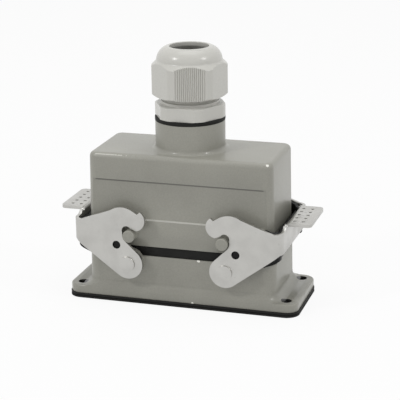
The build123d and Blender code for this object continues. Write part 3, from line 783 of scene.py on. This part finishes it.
@dataclass
class LockingLevers:
    """Bent steel levers and the black plastic inserts that they carry."""

    edge: float = 0.36
    insert_edge: float = 0.25

    def build(self) -> None:
        """Make both levers and both inserts."""
        steel, rim, plastic = LEVER_STEEL.build(), LEVER_RIM_HIGHLIGHT.build(), BLACK_PLASTIC.build()
        for side, body in (("left", Body.LEFT_LEVER), ("right", Body.RIGHT_LEVER)):
            # The levers' rounded edges take the painted highlight finish
            settle(softened(f"lever_{side}", self.edge, steel, rim), body)
            settle(softened(f"lever_{side}_insert", self.insert_edge, plastic), body)


@dataclass
class Seals:
    """Flange gasket and the seal between the shells."""

    edge: float = 0.25

    def build(self) -> None:
        """Make both rubber frames."""
        rubber = RUBBER.build()
        for node in ("flange_gasket", "rim_seal"):
            settle(softened(node, self.edge, rubber), Body.HOUSING)


@dataclass
class CableGland:
    """Grey plastic gland: rubber ring, threaded body with claws, cap nut and rubber seal.

    The third value of each outline corner is how far its rounding reaches.
    """

    bore: float = 11.2
    lower_radius: float = 14.1
    ring_bore: float = 14.15
    ring_faces: int = 144
    body_flats: float = 15.8
    body_corner: float = 17.15
    body_face_angle: float = 30.0
    body_hex_height: float = 6.5
    body_chamfer: float = 0.5
    body_faces: int = 360
    body_step: float = 0.2
    collar_radius: float = 14.1
    collar_height: float = 1.3
    thread_radius: float = 13.4
    thread_length: float = 9.9
    thread_pitch: float = 1.5
    thread_depth: float = 0.8
    thread_slope: float = 1.25
    thread_flat: float = 0.1
    claw_radius: float = 12.4
    claw_count: int = 12
    claw_slot: float = 1.0
    claw_lean: float = 0.3
    claw_bore_lean: float = 0.1
    cap_flats: float = 16.5
    cap_corner: float = 18.1
    cap_face_angle: float = -72.0
    cap_foot: float = 0.8
    cap_hex_height: float = 14.8
    cap_chamfer: float = 2.3
    cap_bore: float = 13.7
    cap_bore_depth: float = 8.0
    cap_step: float = 0.3
    ribbed_faces: int = 150
    plain_faces: int = 50
    dome_radius: float = 15.75
    dome_power: float = 1.23
    dome_rounding: float = 0.45
    mouth_radius: float = 10.2
    opening: float = 9.4
    opening_depth: float = 2.0
    throat_radius: float = 12.7
    throat_top: float = 6.5
    throat_foot: float = 8.4
    flat_round: float = 0.25
    groove_pitch: float = 0.9
    groove_depth: float = 0.5
    groove_half_width: float = 6.9
    groove_fade: float = 0.25
    edge_groove: float = 0.7
    edge_groove_gap: float = 0.15
    edge_groove_width: float = 0.2
    seal_bore: float = 8.4
    seal_faces: int = 120
    seal_step: float = 0.4
    seal_wall: float = 1.5
    seal_rings: int = 3
    seal_ring_depth: float = 0.18

    def hexagon(self, angle: np.ndarray, flats: float, face_angle: float) -> np.ndarray:
        """Radius of a hexagon: half the flats over the cosine of the angle to the nearest flat."""
        turn = (angle - radians(face_angle) + tau / 12) % (tau / 6) - tau / 12
        return flats / np.cos(turn)

    def build(self) -> None:
        """Make the gland's four pieces."""
        plastic, rubber = GLAND_PLASTIC.build(), RUBBER.build()
        for piece, body, slot, material in (
                (self.washer(), Body.HOUSING, Slot.RUBBER, rubber),
                (self.body(), Body.HOUSING, Slot.GLAND, plastic),
                (self.cap(), Body.CAP_NUT, Slot.GLAND, plastic),
                (self.seal(), Body.HOUSING, Slot.RUBBER, rubber)):
            dress(piece, material)
            settle(piece, body)

    def washer(self) -> bpy.types.Object:
        """Rubber ring with rounded edges under the lower hexagon.

        Returns:
            The ring.
        """
        low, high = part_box("gland_washer")
        outer, bottom, top = high.x / MM, low.z / MM, high.z / MM
        loop = rounded_loop(((self.ring_bore, bottom, 0.1), (outer, bottom, 0.35), (outer, top, 0.35),
                             (self.ring_bore, top, 0.1)))
        piece = mesh_object("washer_ring", [turned(loop, round_turn(self.ring_faces))])
        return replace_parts(piece, "gland_washer")

    def body(self) -> bpy.types.Object:
        """Lower thread drawn as a plain cylinder, hexagon with rounded corners, collar, helical upper thread
        and claws.

        Returns:
            The body.
        """
        low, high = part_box("gland_body")
        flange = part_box("gland_washer")[1].z / MM
        bottom, top = low.z / MM, high.z / MM
        hex_top = flange + self.body_hex_height
        collar_top = hex_top + self.collar_height
        thread_top = collar_top + self.thread_length
        corners = ((self.bore, bottom, 0.4), (self.lower_radius, bottom, 0.6),
                   (self.lower_radius, flange, 0.05), (self.body_corner, flange, 0.35),
                   (self.body_corner, hex_top - self.body_chamfer, 0.3), (self.body_flats, hex_top, 0.25),
                   (self.collar_radius, hex_top, 0.1), (self.collar_radius, collar_top, 0.35),
                   (self.thread_radius, collar_top, 0.08), (self.thread_radius, thread_top, 0.3),
                   (self.bore, thread_top, 0.1))
        loop = finer(rounded_loop(corners), self.body_step, self.claw_radius)

        def shape(radius: np.ndarray, height: np.ndarray, angle: np.ndarray) -> np.ndarray:
            """Hexagon below the collar, and a helix above it.

            The thread's radius falls by its depth times a triangle wave of
            height / pitch - angle / turn, faded in over the first half pitch.

            Args:
                radius: Radius of the turned blank.
                height: Height of each point.
                angle: Angle of each point.

            Returns:
                The radius of the body.
            """
            flat = soft_least(radius, self.hexagon(angle, self.body_flats, self.body_face_angle),
                              self.flat_round)
            phase = (height / self.thread_pitch - angle / tau) % 1.0
            wave = np.clip(np.abs(2 * phase - 1) * self.thread_slope - self.thread_flat, 0.0, 1.0)
            fade = np.clip((height - collar_top) / (0.5 * self.thread_pitch), 0.0, 1.0)
            on_thread = (height > collar_top) & (radius > self.claw_radius)
            return flat - np.where(on_thread, self.thread_depth * wave * fade, 0.0)

        main_shell = turned(loop, round_turn(self.body_faces), shape)
        slot_turn = self.claw_slot / 2 / self.claw_radius
        sweep = tau / self.claw_count - 2 * slot_turn
        starts = round_turn(self.claw_count) + slot_turn
        claws = [self.claw(start, sweep, thread_top, top) for start in starts]
        piece = mesh_object("gland_threaded_body", [main_shell, *claws])
        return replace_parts(piece, "gland_body")

    def claw(self, start: float, sweep: float, bottom: float, top: float) -> Shell:
        """One claw: a rounded upright bar's section carried round part of a circle.

        The section loop is turned through the sweep, and its two ends shrink to
        the section's middle, which closes them.

        Args:
            start: Angle of the claw's first side, in radians.
            sweep: Angle that the claw takes up, in radians.
            bottom: Height of its foot.
            top: Height of its tip.

        Returns:
            The closed shell.
        """
        corners = ((self.bore, bottom, 0.05), (self.claw_radius, bottom, 0.05),
                   (self.claw_radius - self.claw_lean, top, 0.3), (self.bore + self.claw_bore_lean, top, 0.2))
        loop = rounded_loop(corners, 4)
        angle = start + sweep * np.array([0.0, 0.0, 0.25, 0.5, 0.75, 1.0, 1.0])
        middle = loop.mean(0)
        share = np.array([0.0, 1.0, 1.0, 1.0, 1.0, 1.0, 0.0])[:, None, None]
        section = middle + (loop[None] - middle) * share
        grid = np.stack([section[..., 0] * np.cos(angle)[:, None], section[..., 0] * np.sin(angle)[:, None],
                         section[..., 1]], -1)
        return Shell.from_grid(grid, False, True)

    def cap_angles(self) -> np.ndarray:
        """Angles round the cap nut, closer together across its three grooved flats.

        Returns:
            The angles in radians, once round.
        """
        sixth = tau / 6
        parts = []
        for face in range(6):
            count = self.ribbed_faces if face % 2 == 0 else self.plain_faces
            start = radians(self.cap_face_angle) - sixth / 2 + face * sixth
            parts.append(start + sixth * np.arange(count) / count)
        return np.concatenate(parts)

    def cap(self) -> bpy.types.Object:
        """Domed cap nut: hexagon with scalloped tops, grooved alternate flats and a round mouth.

        The dome's outline is r = mouth + (dome - mouth) cos(u)^power and
        z = foot + height sin(u), for u from 0 to a quarter turn.

        Returns:
            The cap nut.
        """
        low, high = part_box("gland_cap_nut")
        bottom, top = low.z / MM, high.z / MM
        hex_top = bottom + self.cap_hex_height
        dome = hex_top + self.cap_chamfer
        u = np.linspace(0.0, tau / 4, 9)[1:-1]
        spread = self.dome_radius - self.mouth_radius
        dome_radius = self.mouth_radius + spread * np.cos(u) ** self.dome_power
        dome_height = dome + (top - dome) * np.sin(u)
        corners = [(self.cap_bore, bottom, 0.2), (self.cap_flats, bottom, 0.25),
                   (self.cap_corner, bottom + self.cap_foot, 0.25), (self.cap_corner, hex_top, 0.3),
                   (self.dome_radius, dome, 0.3),
                   *zip(dome_radius, dome_height, np.full(len(u), self.dome_rounding)),
                   (self.mouth_radius, top, 0.3), (self.opening, top, 0.45),
                   (self.opening, top - self.opening_depth, 0.4),
                   (self.throat_radius, top - self.throat_top, 0.3),
                   (self.throat_radius, bottom + self.throat_foot, 0.15),
                   (self.cap_bore, bottom + self.cap_bore_depth, 0.15)]
        loop = finer(rounded_loop(corners), self.cap_step, self.cap_bore)

        def shape(radius: np.ndarray, height: np.ndarray, angle: np.ndarray) -> np.ndarray:
            """Flats cut into the blank, then fine upright grooves on every other flat.

            Groove depth is a raised cosine of the distance across the flat over
            the pitch, faded out where the flat runs into the blank, with a
            deeper groove along both sides of the flat.

            Args:
                radius: Radius of the turned blank.
                height: Height of each point, which changes nothing here.
                angle: Angle of each point.

            Returns:
                The radius of the cap nut.
            """
            flats = self.hexagon(angle, self.cap_flats, self.cap_face_angle)
            flat = soft_least(radius, flats, self.flat_round)
            turn = (angle - radians(self.cap_face_angle) + tau / 6) % (tau / 3) - tau / 6
            across = np.abs(flat * np.sin(turn))
            depth = self.groove_depth * (0.5 - 0.5 * np.cos(tau * across / self.groove_pitch)) ** 2
            depth = np.where(across < self.groove_half_width, depth, 0.0)
            off_side = (across - self.groove_half_width - self.edge_groove_gap) / self.edge_groove_width
            side = self.edge_groove * np.exp(-(off_side**2))
            inset = np.clip((radius - flats) / self.groove_fade, 0.0, 1.0)
            return flat - np.where(np.abs(turn) < tau / 12, np.maximum(depth, side) * inset, 0.0)

        piece = mesh_object("cap_nut_ribbed", [turned(loop, self.cap_angles(), shape)])
        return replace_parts(piece, "gland_cap_nut")

    def seal(self) -> bpy.types.Object:
        """Rubber bush with shallow rings inside its mouth.

        Returns:
            The bush.
        """
        low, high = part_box("gland_seal_bush")
        outer, bottom, top = high.x / MM, low.z / MM, high.z / MM
        corners = ((self.seal_bore, bottom, 0.5), (outer, bottom, 0.4), (outer, top, 0.9),
                   (self.seal_bore, top, 0.7))
        loop = finer(rounded_loop(corners), self.seal_step)

        def shape(radius: np.ndarray, height: np.ndarray, angle: np.ndarray) -> np.ndarray:
            """Bore widened by a raised cosine of the height, once for each ring.

            Args:
                radius: Radius of the turned blank.
                height: Height of each point.
                angle: Angle of each point, which changes nothing here.

            Returns:
                The radius of the bush.
            """
            along = (height - bottom) / (top - bottom)
            ring = self.seal_ring_depth * (0.5 - 0.5 * np.cos(self.seal_rings * tau * along))
            return np.where(radius < outer - self.seal_wall, radius + ring, radius)

        piece = mesh_object("seal_bush_ringed", [turned(loop, round_turn(self.seal_faces), shape)])
        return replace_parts(piece, "gland_seal_bush")


@dataclass
class ContactInserts:
    """Contact carriers with their contacts, screws and earth plates, seen from below or not at all."""

    edge: float = 0.3

    def build(self) -> None:
        """Dress the inner pieces, and soften the carrier that shows from below."""
        plastic, silver, zinc = INSERT_PLASTIC.build(), SILVER.build(), ZINC.build()
        for part in ("female", "male"):
            dress_node(f"{part}_contacts", silver)
            dress_node(f"{part}_earth_plates", silver)
            for screws in ("terminal", "earth", "fixing"):
                dress_node(f"{part}_{screws}_screws", zinc)
        dress_node("male_insert", plastic)
        settle(softened("female_insert", self.edge, plastic), Body.HOUSING)


@dataclass(frozen=True)
class Lamp:
    """Square soft light: its name, its place and side in metres, and its power in watts."""

    name: str
    place: tuple[float, float, float]
    side: float
    power: float

    def build(self, aim: Sequence[float]) -> None:
        """Make the lamp.

        Args:
            aim: The point that it shines at, in metres.
        """
        data = bpy.data.lights.new(self.name, "AREA")
        data.shape = "SQUARE"
        data.size = self.side
        data.energy = self.power
        lamp = bpy.data.objects.new(self.name, data)
        lamp.location = self.place
        lamp.rotation_euler = (Vector(aim) - Vector(self.place)).to_track_quat("-Z", "Y").to_euler()
        bpy.context.scene.collection.objects.link(lamp)


@dataclass
class Studio:
    """Pale floor, soft lights and the camera at the photograph's angle."""

    azimuth: float = 17.510
    elevation: float = 16.588
    roll: float = -0.844
    distance: float = 680.490
    focal_pixels: float = 1404.379
    picture: float = 400.0
    axis_pixel: tuple[float, float] = (194.439, 182.572)
    aim: tuple[float, float, float] = (0.0, 0.0, 57.5)
    aim_right: float = 1.54
    aim_up: float = -0.973
    sensor: float = 36.0
    seen_range: tuple[float, float] = (0.01, 50.0)
    floor_half: float = 6.0
    floor_tone: float = 0.8
    floor_glow: float = 0.9
    surroundings: float = 0.64
    seen_white: float = 1.0
    lamp_aim: tuple[float, float, float] = (0.0, 0.0, 0.05)
    lamps: tuple[Lamp, ...] = (
        Lamp("box_from_right", (0.84, -0.19, 0.72), 0.12, 1.8),
        Lamp("box_from_left", (-0.58, -0.63, 0.72), 0.12, 2.4),
        Lamp("sheet_from_above", (0.0, 0.1, 1.1), 0.80, 3.0))

    def build(self) -> None:
        """Make the camera, the floor, the world and the lights."""
        bpy.context.scene.view_settings.view_transform = "Standard"
        self.camera()
        self.floor()
        self.world()
        for lamp in self.lamps:
            lamp.build(self.lamp_aim)

    def directions(self) -> tuple[Vector, Vector, Vector]:
        """Right, up and back directions of the camera before its roll.

        Returns:
            The three unit vectors.
        """
        a, e = radians(self.azimuth), radians(self.elevation)
        right = Vector((cos(a), sin(a), 0.0))
        back = Vector((sin(a) * cos(e), -cos(a) * cos(e), sin(e)))
        return right, back.cross(right), back

    def camera(self) -> None:
        """Camera that sees the object as the photograph does."""
        right, up, back = self.directions()
        place = Vector(self.aim) + right * self.aim_right + up * self.aim_up + back * self.distance
        roll = radians(self.roll)
        across = right * cos(roll) + up * sin(roll)
        upright = up * cos(roll) - right * sin(roll)
        data = bpy.data.cameras.new("photo_view")
        data.sensor_width = self.sensor
        data.lens = self.sensor * self.focal_pixels / self.picture
        data.shift_x = (self.picture / 2 - self.axis_pixel[0]) / self.picture
        data.shift_y = (self.axis_pixel[1] - self.picture / 2) / self.picture
        data.clip_start, data.clip_end = self.seen_range
        camera = bpy.data.objects.new("photo_view", data)
        turn = Matrix((across, upright, back)).transposed().to_4x4()
        camera.matrix_world = Matrix.Translation(place * MM) @ turn
        bpy.context.scene.collection.objects.link(camera)
        bpy.context.scene.camera = camera

    def floor(self) -> None:
        """Pale floor that keeps a soft shadow and looks white to the camera."""
        far = self.floor_half
        mesh = bpy.data.meshes.new("floor")
        mesh.from_pydata([(-far, -far, 0.0), (far, -far, 0.0), (far, far, 0.0), (-far, far, 0.0)], [],
                         [(0, 1, 2, 3)])
        floor = bpy.data.objects.new("floor", mesh)
        bpy.context.scene.collection.objects.link(floor)
        graph = Graph("floor_white")
        diffuse = graph.node("ShaderNodeBsdfDiffuse")
        diffuse.inputs["Color"].default_value = (self.floor_tone, self.floor_tone, self.floor_tone, 1.0)
        glow = graph.node("ShaderNodeEmission")
        glow.inputs["Color"].default_value = (1.0, 1.0, 1.0, 1.0)
        path = graph.node("ShaderNodeLightPath")
        seen = graph.math("MAXIMUM", path.outputs["Is Camera Ray"], path.outputs["Is Glossy Ray"])
        mix = graph.node("ShaderNodeMixShader")
        graph.feed(mix.inputs[0], graph.math("MULTIPLY", seen, self.floor_glow))
        graph.feed(mix.inputs[1], diffuse.outputs[0])
        graph.feed(mix.inputs[2], glow.outputs[0])
        out = graph.node("ShaderNodeOutputMaterial")
        graph.feed(out.inputs["Surface"], mix.outputs[0])
        dress(floor, graph.material)

    def world(self) -> None:
        """Even white surroundings, seen at full strength by the camera and in reflections."""
        world = bpy.data.worlds.new("studio")
        world.use_nodes = True
        bpy.context.scene.world = world
        tree = world.node_tree
        tree.nodes.clear()
        path = tree.nodes.new("ShaderNodeLightPath")
        seen = tree.nodes.new("ShaderNodeMath")
        seen.operation = "MAXIMUM"
        tree.links.new(path.outputs["Is Camera Ray"], seen.inputs[0])
        tree.links.new(path.outputs["Is Glossy Ray"], seen.inputs[1])
        mix = tree.nodes.new("ShaderNodeMixShader")
        tree.links.new(seen.outputs[0], mix.inputs[0])
        for socket, strength in ((mix.inputs[1], self.surroundings), (mix.inputs[2], self.seen_white)):
            white = tree.nodes.new("ShaderNodeBackground")
            white.inputs["Color"].default_value = (1.0, 1.0, 1.0, 1.0)
            white.inputs["Strength"].default_value = strength
            tree.links.new(white.outputs[0], socket)
        out = tree.nodes.new("ShaderNodeOutputWorld")
        tree.links.new(mix.outputs[0], out.inputs["Surface"])


def main() -> None:
    """Build the studio and every sub-assembly in order."""
    logging.basicConfig(level=logging.INFO, format="%(name)s: %(message)s")
    Studio().build()
    for assembly in (CastShells(), Seals(), LockingLevers(), CableGland(), ContactInserts()):
        LOG.info("building %s", type(assembly).__name__)
        assembly.build()


if __name__ == "__main__":
    main()
